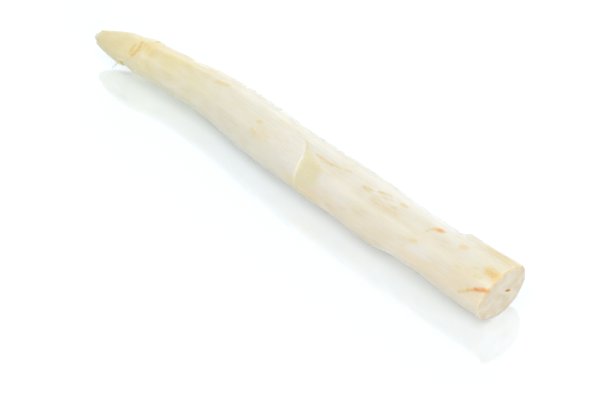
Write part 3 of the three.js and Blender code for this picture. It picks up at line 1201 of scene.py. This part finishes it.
@dataclass
class Spear:
    """The whole spear as one closed mesh: stem, bud, scale leaves, torn thread and slit."""

    form: Form = field(default_factory=Form)
    leaf_count: int = 8
    sharp: float = 38.0
    heal_rounds: int = 4
    sure: float = 0.999
    middle: Span = (0.85, 1.235)
    name: str = "spear_skin"

    def build(self, materials: list[bpy.types.Material]) -> bpy.types.Object:
        """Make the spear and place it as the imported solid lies.

        Args:
            materials: the materials of the mesh's slots, in the order of Slot.

        Returns:
            The spear's object.
        """
        marks = Marks()
        spear = Stem(self.form).surface(marks).to_object(self.name, materials)
        leaves = [ScaleLeaf(self.form, order) for order in range(self.leaf_count)]
        skins = {f"leaf_{leaf.order}": leaf.surface(marks) for leaf in leaves}
        skins |= {"wisp": Wisp(self.form).surface(), "side_bud": SideBud(self.form).surface()}
        added = [skin.to_object(name, materials) for name, skin in skins.items()]
        self._combine(spear, added, "UNION")
        self._combine(spear, [Slit(self.form).surface().to_object("slit", materials)], "DIFFERENCE")
        self._keep_outer(spear.data)
        self._heal(spear.data)
        self._finish(spear.data)
        return spear

    def _combine(self, spear: bpy.types.Object, others: list[bpy.types.Object], operation: str) -> None:
        """Join the others to the spear, or cut them out of it, and remove them.

        Args:
            spear: the object that is kept.
            others: the objects that are joined to it or cut out of it.
            operation: UNION or DIFFERENCE.
        """
        group = bpy.data.collections.new("others")
        bpy.context.scene.collection.children.link(group)
        for other in others:
            group.objects.link(other)
        modifier = spear.modifiers.new(operation.lower(), "BOOLEAN")
        modifier.operation = operation
        modifier.operand_type = "COLLECTION"
        modifier.collection = group
        modifier.solver = "MANIFOLD"
        evaluated = spear.evaluated_get(bpy.context.evaluated_depsgraph_get())
        result = bpy.data.meshes.new_from_object(evaluated)
        spear.modifiers.clear()
        spear.data = result
        for other in others:
            bpy.data.objects.remove(other)
        bpy.data.collections.remove(group)

    def _keep_outer(self, mesh: bpy.types.Mesh) -> None:
        """Remove every closed shell but the largest.

        Args:
            mesh: the spear's mesh.
        """
        work = bmesh.new()
        work.from_mesh(mesh)
        left = set(work.verts)
        shells = []
        while left:
            shell, front = set(), [left.pop()]
            while front:
                vert = front.pop()
                shell.add(vert)
                near = {edge.other_vert(vert) for edge in vert.link_edges} & left
                left -= near
                front += near
            shells.append(shell)
        shells.sort(key=len)
        for shell in shells[:-1]:
            bmesh.ops.delete(work, geom=list(shell), context="VERTS")
        open_edges = sum(not edge.is_manifold for edge in work.edges)
        LOG.info("%s: kept 1 of %d shells, %d open edges", self.name, len(shells), open_edges)
        work.to_mesh(mesh)
        work.free()

    def _heal(self, mesh: bpy.types.Mesh) -> None:
        """Give the points that the joining made the mean masks and places of their neighbours.

        Args:
            mesh: the spear's mesh.
        """
        count = len(mesh.vertices)
        edges = np.empty(len(mesh.edges) * 2, np.int32)
        mesh.edges.foreach_get("vertices", edges)
        ends = np.concatenate([edges.reshape(-1, 2), edges.reshape(-1, 2)[:, ::-1]])
        layers = [(mesh.attributes[mask.value], "value", 1) for mask in Mask]
        layers.append((mesh.attributes[STRAIGHT], "vector", 3))
        table = []
        for layer, key, width in layers:
            values = np.empty(count * width, np.float32)
            layer.data.foreach_get(key, values)
            table.append(values.reshape(count, width))
        values = np.concatenate(table, axis=1).astype(float)
        known = np.empty(count, np.float32)
        mesh.attributes[KNOWN].data.foreach_get("value", known)
        known = known > self.sure
        for _ in range(self.heal_rounds):
            use = ends[known[ends[:, 1]] & ~known[ends[:, 0]]]
            total = np.zeros_like(values)
            np.add.at(total, use[:, 0], values[use[:, 1]])
            number = np.bincount(use[:, 0], minlength=count)
            found = number > 0
            values[found] = total[found] / number[found, None]
            known = known | found
        LOG.info("%s: %d points left without masks", self.name, int((~known).sum()))
        column = 0
        for layer, key, width in layers:
            part = values[:, column : column + width].astype(np.float32)
            layer.data.foreach_set(key, np.ascontiguousarray(part).reshape(-1))
            column += width
        mesh.attributes.remove(mesh.attributes[KNOWN])

    def _finish(self, mesh: bpy.types.Mesh) -> None:
        """Shade the mesh smooth except over sharp edges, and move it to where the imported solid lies.

        Args:
            mesh: the spear's mesh.
        """
        mesh.shade_smooth()
        mesh.set_sharp_from_angle(angle=math.radians(self.sharp))
        places = np.empty(len(mesh.vertices) * 3, np.float32)
        mesh.vertices.foreach_get("co", places)
        places = places.reshape(-1, 3) - np.array([*self.middle, 0.0], np.float32) * MM
        mesh.vertices.foreach_set("co", places.reshape(-1).astype(np.float32))
        mesh.update()


class Wiring:
    """Adds nodes to a tree and links them."""

    COLUMNS = 12
    STEP = (190, -260)

    def __init__(self, tree: bpy.types.NodeTree) -> None:
        """Start in a node tree."""
        self.tree = tree

    def add(self, kind: str, inputs: dict[Any, Any] | None = None, **settings: Any) -> bpy.types.Node:
        """Add a node.

        Args:
            kind: the node's type name.
            inputs: a value or an output to link, for each input named or numbered.
            settings: the node's own settings.

        Returns:
            The node.
        """
        node = self.tree.nodes.new(kind)
        row, column = divmod(len(self.tree.nodes), self.COLUMNS)
        node.location = (self.STEP[0] * column, self.STEP[1] * row)
        for key, value in settings.items():
            setattr(node, key, value)
        for key, value in (inputs or {}).items():
            self.feed(node.inputs[key], value)
        return node

    def feed(self, socket: bpy.types.NodeSocket, value: Any) -> None:
        """Feed an input.

        Args:
            socket: the input.
            value: an output to link to it, or the value to set on it.
        """
        if isinstance(value, bpy.types.NodeSocket):
            self.tree.links.new(value, socket)
        else:
            socket.default_value = value

    def math(self, operation: str, a: Any, b: Any, clamp: bool = False) -> bpy.types.NodeSocket:
        """Work out a number from two."""
        return self.add("ShaderNodeMath", {0: a, 1: b}, operation=operation, use_clamp=clamp).outputs[0]

    def times(self, a: Any, b: Any) -> bpy.types.NodeSocket:
        """Multiply two numbers."""
        return self.math("MULTIPLY", a, b)

    def plus(self, a: Any, b: Any) -> bpy.types.NodeSocket:
        """Add two numbers."""
        return self.math("ADD", a, b)

    def mix(self, factor: Any, a: Any, b: Any) -> bpy.types.NodeSocket:
        """Mix two colours."""
        return self.add("ShaderNodeMix", {0: factor, 6: a, 7: b}, data_type="RGBA").outputs[2]

    def tone(self, colour: Any, other: Colour, mask: Any, share: float) -> bpy.types.NodeSocket:
        """Turn a colour towards another, by a share of a mask."""
        return self.mix(self.times(mask, share), colour, other)

    def remap(
        self, value: Any, low: float, high: float, start: float = 0.0, end: float = 1.0
    ) -> bpy.types.NodeSocket:
        """Map a value from one range to another, clamped."""
        inputs = {"Value": value, "From Min": low, "From Max": high, "To Min": start, "To Max": end}
        return self.add("ShaderNodeMapRange", inputs).outputs[0]

    def noise(self, place: Any, scale: Any, detail: float, roughness: float) -> bpy.types.NodeSocket:
        """Read a noise that is even in all directions."""
        inputs = {"Vector": place, "Scale": scale, "Detail": detail, "Roughness": roughness}
        return self.add("ShaderNodeTexNoise", inputs).outputs[0]

    def stretch(self, place: Any, x: float, y: float = 1.0, z: float = 1.0) -> bpy.types.NodeSocket:
        """Scale a place by a factor for each axis."""
        return self.add("ShaderNodeVectorMath", {0: place, 1: (x, y, z)}, operation="MULTIPLY").outputs[0]

    def mask(self, mask: Mask) -> bpy.types.NodeSocket:
        """Read one of the mesh's masks."""
        return self.add("ShaderNodeAttribute", attribute_name=mask.value).outputs["Fac"]

    def straight(self) -> bpy.types.NodeSocket:
        """Read where the surface is on the straight spear, in millimetres."""
        return self.add("ShaderNodeAttribute", attribute_name=STRAIGHT).outputs["Vector"]


class Socket(Enum):
    """The kinds of socket that a node group has."""

    NUMBER = "NodeSocketFloat"
    COLOUR = "NodeSocketColor"
    VECTOR = "NodeSocketVector"


class NodeGroup:
    """A shader node group with named inputs and outputs."""

    def __init__(self, name: str, inputs: dict[str, Socket], outputs: dict[str, Socket]) -> None:
        """Make the empty group.

        Args:
            name: the group's name.
            inputs: the kind of socket for each input's name.
            outputs: the kind of socket for each output's name.
        """
        self.tree = bpy.data.node_groups.new(name, "ShaderNodeTree")
        for way, sockets in (("INPUT", inputs), ("OUTPUT", outputs)):
            for label, kind in sockets.items():
                self.tree.interface.new_socket(label, in_out=way, socket_type=kind.value)
        self.wiring = Wiring(self.tree)
        self.source = self.wiring.add("NodeGroupInput").outputs
        self.sink = self.wiring.add("NodeGroupOutput").inputs

    def use(self, wiring: Wiring, **inputs: Any) -> Any:
        """Place the group in a material and return its outputs."""
        return wiring.add("ShaderNodeGroup", inputs, node_tree=self.tree).outputs


class FibreGroup(NodeGroup):
    """Fine fibres and broader strands that run along the spear."""

    def __init__(self) -> None:
        """Build the group."""
        outputs = {"Fine": Socket.NUMBER, "Strands": Socket.NUMBER}
        super().__init__("fibres", {"Place": Socket.VECTOR, "Spacing": Socket.NUMBER}, outputs)
        w = self.wiring
        rate = w.math("DIVIDE", 1.0, self.source["Spacing"])
        fine = w.noise(w.stretch(self.source["Place"], 0.035), rate, 3.0, 0.55)
        strands = w.noise(w.stretch(self.source["Place"], 0.02, 0.42, 0.42), rate, 2.0, 0.5)
        w.feed(self.sink["Fine"], w.remap(fine, 0.32, 0.68))
        w.feed(self.sink["Strands"], w.remap(strands, 0.35, 0.65))


class MottleGroup(NodeGroup):
    """Soft patches, a little longer than they are wide."""

    def __init__(self) -> None:
        """Build the group."""
        inputs = {"Place": Socket.VECTOR, "Size": Socket.NUMBER}
        super().__init__("mottle", inputs, {"Patches": Socket.NUMBER})
        w = self.wiring
        rate = w.math("DIVIDE", 1.0, self.source["Size"])
        patches = w.noise(w.stretch(self.source["Place"], 0.55), rate, 3.0, 0.5)
        w.feed(self.sink["Patches"], w.remap(patches, 0.34, 0.66))


class StainGroup(NodeGroup):
    """Lays the coloured marks over a colour, with torn edges."""

    def __init__(self) -> None:
        """Build the group."""
        inputs = {"Color": Socket.COLOUR, "Place": Socket.VECTOR}
        inputs |= {mask.value: Socket.NUMBER for mask in STAINS}
        super().__init__("stains", inputs, {"Color": Socket.COLOUR})
        w = self.wiring
        ragged = w.noise(w.stretch(self.source["Place"], 0.6), 1.7, 4.0, 0.65)
        tear = w.remap(ragged, 0.32, 0.6, 0.45, 1.15)
        colour = self.source["Color"]
        for mask, stain in STAINS.items():
            torn = w.times(self.source[mask.value], tear)
            colour = w.mix(w.remap(torn, 0.08, 0.92), colour, stain)
        w.feed(self.sink["Color"], colour)


@dataclass(frozen=True)
class Depth:
    """How light spreads inside the flesh."""

    weight: float = 1.0
    radius: tuple[float, float, float] = (1.0, 0.9, 0.7)
    scale: float = 0.0022


@dataclass(frozen=True)
class Gloss:
    """How the surface shines."""

    roughness: float = 0.4
    smoother: float = 0.06
    rougher: float = 0.1
    coat: float = 0.3
    coat_roughness: float = 0.2
    ior: float = 1.4
    specular: float = 0.45


@dataclass
class Groups:
    """The shared node groups."""

    fibres: FibreGroup = field(default_factory=FibreGroup)
    mottle: MottleGroup = field(default_factory=MottleGroup)
    stains: StainGroup = field(default_factory=StainGroup)


class Finish:
    """A moist, translucent plant finish."""

    name = "finish"
    depth = Depth()
    gloss = Gloss()
    bump_strength = 0.6
    bump_distance = 0.0002

    def __init__(self, groups: Groups) -> None:
        """Start from the shared node groups."""
        self.groups = groups

    def build(self) -> bpy.types.Material:
        """Make the material.

        Returns:
            The material.
        """
        material = bpy.data.materials.new(self.name)
        material.use_nodes = True
        material.node_tree.nodes.clear()
        w = Wiring(material.node_tree)
        colour, roughness, height = self.look(w)
        bump = {"Strength": self.bump_strength, "Distance": self.bump_distance, "Height": height}
        inputs = {
            "Base Color": colour,
            "Roughness": roughness,
            "IOR": self.gloss.ior,
            "Specular IOR Level": self.gloss.specular,
            "Subsurface Weight": self.depth.weight,
            "Subsurface Radius": self.depth.radius,
            "Subsurface Scale": self.depth.scale,
            "Coat Weight": self.gloss.coat,
            "Coat Roughness": self.gloss.coat_roughness,
            "Normal": w.add("ShaderNodeBump", bump).outputs[0],
        }
        shader = w.add("ShaderNodeBsdfPrincipled", inputs, subsurface_method="RANDOM_WALK")
        w.add("ShaderNodeOutputMaterial", {"Surface": shader.outputs[0]})
        return material

    def look(self, w: Wiring) -> tuple[Any, Any, Any]:
        """Return the colour, the roughness and the height of the finish."""
        raise NotImplementedError

    def patches(self, w: Wiring, place: Any, size: float) -> Any:
        """Return soft patches of a size in millimetres."""
        return self.groups.mottle.use(w, Place=place, Size=size)["Patches"]

    def stained(self, w: Wiring, place: Any, colour: Any) -> Any:
        """Lay the coloured marks over a colour."""
        marks = {mask.value: w.mask(mask) for mask in STAINS}
        return self.groups.stains.use(w, Color=colour, Place=place, **marks)["Color"]

    def moist(self, w: Wiring, value: Any) -> Any:
        """Return the roughness, which follows a value from 0 to 1."""
        base = self.gloss.roughness
        return w.remap(value, 0.0, 1.0, base - self.gloss.smoother, base + self.gloss.rougher)


class FleshFinish(Finish):
    """Peeled flesh: white to cream, with long fibres, rough streaks, the marks, painted warm shade on the
    shaded flanks and a painted highlight on the paler ridges.
    """

    name = "peeled_flesh"
    white = rgb(236, 234, 222)
    cream = rgb(234, 223, 164)
    # Painted shade: the warm cream of the flanks away from the lit top.
    warm = rgb(248, 223, 181)
    shade = rgb(230, 219, 190)
    # Pale colour: the own paleness of fibres, clouds and scratches, and the highlight painted on the ridges.
    ridge = rgb(245, 243, 236)
    stroke = rgb(228, 204, 156)
    fibre_spacing = 0.8
    patch_size = 9.0
    cloud_size = 4.2
    patch_share = 0.34
    strand_share = 0.14
    fine_share = 0.16
    cloud_share = 0.3
    ridge_highlight_share = 0.3
    streak_depth = -2.5
    strand_height = 0.6
    fine_height = 0.4

    def look(self, w: Wiring) -> tuple[Any, Any, Any]:
        """Wire the finish.

        Args:
            w: the wiring of the material.

        Returns:
            The colour, the roughness and the height.
        """
        place = w.straight()
        fibres = self.groups.fibres.use(w, Place=place, Spacing=self.fibre_spacing)
        patches = self.patches(w, place, self.patch_size)
        rough = w.mask(Mask.ROUGH)
        colour = w.mix(w.mask(Mask.TINT), self.white, self.cream)
        # Painted shade: warm cream on the flanks that face away from the lit top.
        colour = w.mix(w.mask(Mask.WARM_SHADE), colour, self.warm)
        colour = w.tone(colour, self.shade, patches, self.patch_share)
        colour = w.tone(colour, self.shade, fibres["Strands"], self.strand_share)
        colour = w.tone(colour, self.ridge, fibres["Fine"], self.fine_share)
        colour = w.tone(colour, self.ridge, self.patches(w, place, self.cloud_size), self.cloud_share)
        # Painted highlight: the ridges turned paler, with a little edge wear.
        colour = w.tone(colour, self.ridge, w.mask(Mask.RIDGE_HIGHLIGHT), self.ridge_highlight_share)
        torn = w.noise(w.stretch(place, 0.16), 1.0, 4.0, 0.6)
        torn = w.times(w.remap(torn, 0.57, 0.72), w.remap(patches, 0.4, 0.9, 0.05, 0.5))
        colour = w.mix(torn, colour, self.stroke)
        streaks = w.noise(w.stretch(place, 0.11), 1.9, 4.0, 0.65)
        colour = w.mix(w.times(w.remap(streaks, 0.54, 0.68, 0.0, 0.6), rough), colour, self.stroke)
        colour = w.mix(w.times(w.remap(streaks, 0.46, 0.34, 0.0, 0.8), rough), colour, self.ridge)
        relief = w.times(w.times(streaks, rough), self.streak_depth)
        relief = w.plus(relief, w.times(fibres["Strands"], self.strand_height))
        height = w.plus(w.times(fibres["Fine"], self.fine_height), relief)
        return self.stained(w, place, colour), self.moist(w, fibres["Fine"]), height


class LeafFinish(Finish):
    """Closed scale leaves: straw yellow, with veins, paler margins and the marks."""

    name = "scale_leaf"
    depth = Depth(scale=0.0016)
    gloss = Gloss(roughness=0.46, coat=0.16)
    body = rgb(243, 233, 194)
    vein = rgb(232, 216, 165)
    margin = rgb(243, 235, 208)
    fibre_spacing = 0.55
    patch_size = 5.0
    strand_share = 0.28
    patch_share = 0.5
    margin_share = 0.7
    strand_height = 0.8

    def look(self, w: Wiring) -> tuple[Any, Any, Any]:
        """Wire the finish.

        Args:
            w: the wiring of the material.

        Returns:
            The colour, the roughness and the height.
        """
        place = w.straight()
        fibres = self.groups.fibres.use(w, Place=place, Spacing=self.fibre_spacing)
        colour = w.tone(self.body, self.vein, fibres["Strands"], self.strand_share)
        colour = w.tone(colour, self.vein, self.patches(w, place, self.patch_size), self.patch_share)
        colour = w.tone(colour, self.margin, w.mask(Mask.MARGIN), self.margin_share)
        height = w.plus(fibres["Fine"], w.times(fibres["Strands"], self.strand_height))
        return self.stained(w, place, colour), self.moist(w, fibres["Fine"]), height


class CutFinish(Finish):
    """The cut end: matt and pale, with the dots of the vessels and the knife's faint lines."""

    name = "cut_face"
    depth = Depth(scale=0.002)
    gloss = Gloss(roughness=0.6, smoother=0.05, rougher=0.08, coat=0.0, specular=0.35)
    body = rgb(234, 223, 203)
    dot = rgb(212, 192, 156)
    rim = rgb(220, 202, 168)
    dry = rgb(240, 208, 144)
    stain = rgb(240, 168, 84)
    patch_size = 4.0
    patch_share = 0.75
    stain_share = 0.9
    vessel_density = 0.75
    knife_height = 0.8

    def look(self, w: Wiring) -> tuple[Any, Any, Any]:
        """Wire the finish.

        Args:
            w: the wiring of the material.

        Returns:
            The colour, the roughness and the height.
        """
        place = w.straight()
        flat = w.stretch(place, 0.0)
        radius = w.add("ShaderNodeVectorMath", {0: flat}, operation="LENGTH").outputs["Value"]
        cells = {"Vector": flat, "Scale": self.vessel_density, "Randomness": 0.9}
        vessels = w.add("ShaderNodeTexVoronoi", cells).outputs["Distance"]
        dots = w.times(w.remap(vessels, 0.22, 0.1), w.remap(radius, 3.0, 6.0, 0.15, 0.8))
        patches = self.patches(w, flat, self.patch_size)
        knife = w.noise(w.stretch(place, 0.0, 2.2, 0.25), 1.0, 3.0, 0.6)
        colour = w.tone(self.body, self.rim, patches, self.patch_share)
        colour = w.mix(w.times(w.remap(radius, 9.0, 12.0), patches), colour, self.rim)
        colour = w.mix(dots, colour, self.dot)
        colour = w.tone(colour, self.dry, w.mask(Mask.OCHRE), self.stain_share)
        colour = w.tone(colour, self.stain, w.mask(Mask.ORANGE), self.stain_share)
        height = w.plus(w.times(dots, -1.0), w.times(knife, self.knife_height))
        return colour, self.moist(w, patches), height


@dataclass(frozen=True)
class SoftBox:
    """A large studio lamp that faces the spear."""

    name: str
    place: tuple[float, float, float]
    size: Span
    power: float

    def build(self) -> None:
        """Add the lamp."""
        lamp = bpy.data.lights.new(self.name, "AREA")
        lamp.shape = "RECTANGLE"
        lamp.size, lamp.size_y = self.size
        lamp.energy = self.power
        made = bpy.data.objects.new(self.name, lamp)
        made.location = self.place
        made.rotation_euler = (-Vector(self.place)).to_track_quat("-Z", "Y").to_euler()
        bpy.context.scene.collection.objects.link(made)


@dataclass(frozen=True)
class Studio:
    """The white floor, the white surroundings, the lamps and the camera."""

    floor_size: float = 6.0
    floor_colour: Colour = (0.78, 0.85, 0.94, 1.0)
    floor_glow: float = 0.25
    floor_roughness: float = 0.1
    floor_metallic: float = 0.45
    ambient_strength: float = 0.6
    glossy_strength: float = 0.95
    seen_strength: float = 1.05
    azimuth: float = 42.54
    elevation: float = 44.32
    distance: float = 877.2
    target: tuple[float, float, float] = (23.05, -17.335, 12.0)
    lens: float = 135.0
    sensor: float = 36.0
    clip_end: float = 20.0
    boxes: tuple[SoftBox, ...] = (
        SoftBox("back", (-0.75, 1.25, 0.5), (1.6, 0.8), 5.5),
        SoftBox("top", (0.1, -0.45, 1.3), (1.2, 1.0), 6.0),
        SoftBox("fill", (1.5, -0.45, 0.45), (0.9, 0.7), 6.5),
    )

    def build(self) -> None:
        """Set up everything that isn't the spear."""
        self._floor()
        self._world()
        self._camera()
        for box in self.boxes:
            box.build()
        bpy.context.scene.view_settings.view_transform = "Standard"

    def _floor(self) -> None:
        """Add the glossy white floor."""
        half = self.floor_size / 2
        corners = [(-half, -half, 0), (half, -half, 0), (half, half, 0), (-half, half, 0)]
        mesh = bpy.data.meshes.new("floor")
        mesh.from_pydata(corners, [], [(0, 1, 2, 3)])
        material = bpy.data.materials.new("floor")
        material.use_nodes = True
        material.node_tree.nodes.clear()
        w = Wiring(material.node_tree)
        path = w.add("ShaderNodeLightPath").outputs
        seen = w.math("ADD", path["Is Camera Ray"], path["Is Glossy Ray"], clamp=True)
        inputs = {
            "Base Color": self.floor_colour,
            "Roughness": self.floor_roughness,
            "Metallic": self.floor_metallic,
            "Emission Color": WHITE,
            "Emission Strength": w.times(seen, self.floor_glow),
        }
        shader = w.add("ShaderNodeBsdfPrincipled", inputs)
        w.add("ShaderNodeOutputMaterial", {"Surface": shader.outputs[0]})
        mesh.materials.append(material)
        floor = bpy.data.objects.new("floor", mesh)
        bpy.context.scene.collection.objects.link(floor)

    def _world(self) -> None:
        """Make the surroundings pure white to the camera and softer as a light."""
        world = bpy.data.worlds.new("surroundings")
        world.use_nodes = True
        world.node_tree.nodes.clear()
        w = Wiring(world.node_tree)
        path = w.add("ShaderNodeLightPath").outputs
        strengths = (self.ambient_strength, self.glossy_strength, self.seen_strength)
        light, shine, seen = (
            w.add("ShaderNodeBackground", {"Color": WHITE, "Strength": strength}).outputs[0]
            for strength in strengths
        )
        mixed = w.add("ShaderNodeMixShader", {0: path["Is Glossy Ray"], 1: light, 2: shine}).outputs[0]
        shown = w.add("ShaderNodeMixShader", {0: path["Is Camera Ray"], 1: mixed, 2: seen}).outputs[0]
        w.add("ShaderNodeOutputWorld", {"Surface": shown})
        bpy.context.scene.world = world

    def _camera(self) -> None:
        """Add the camera at the photograph's angle."""
        data = bpy.data.cameras.new("camera")
        data.lens, data.sensor_width = self.lens, self.sensor
        data.clip_end = self.clip_end
        turn, climb = math.radians(self.azimuth), math.radians(self.elevation)
        level = math.cos(climb)
        back = Vector((math.sin(turn) * level, -math.cos(turn) * level, math.sin(climb)))
        camera = bpy.data.objects.new("camera", data)
        camera.location = (Vector(self.target) + back * self.distance) * MM
        camera.rotation_euler = back.to_track_quat("Z", "Y").to_euler()
        bpy.context.scene.collection.objects.link(camera)
        bpy.context.scene.camera = camera


def main() -> None:
    """Build the spear and its studio."""
    logging.basicConfig(level=logging.INFO, format="%(name)s: %(message)s")
    groups = Groups()
    finishes = {Slot.FLESH: FleshFinish, Slot.LEAF: LeafFinish, Slot.CUT: CutFinish}
    materials = [finishes[slot](groups).build() for slot in Slot]
    LOG.info("%d finishes made", len(materials))
    spear = Spear().build(materials)
    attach(spear, "root")
    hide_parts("spear")
    LOG.info("%s: %d points, %d faces", spear.name, len(spear.data.vertices), len(spear.data.polygons))
    Studio().build()
    LOG.info("studio set up")


if __name__ == "__main__":
    main()
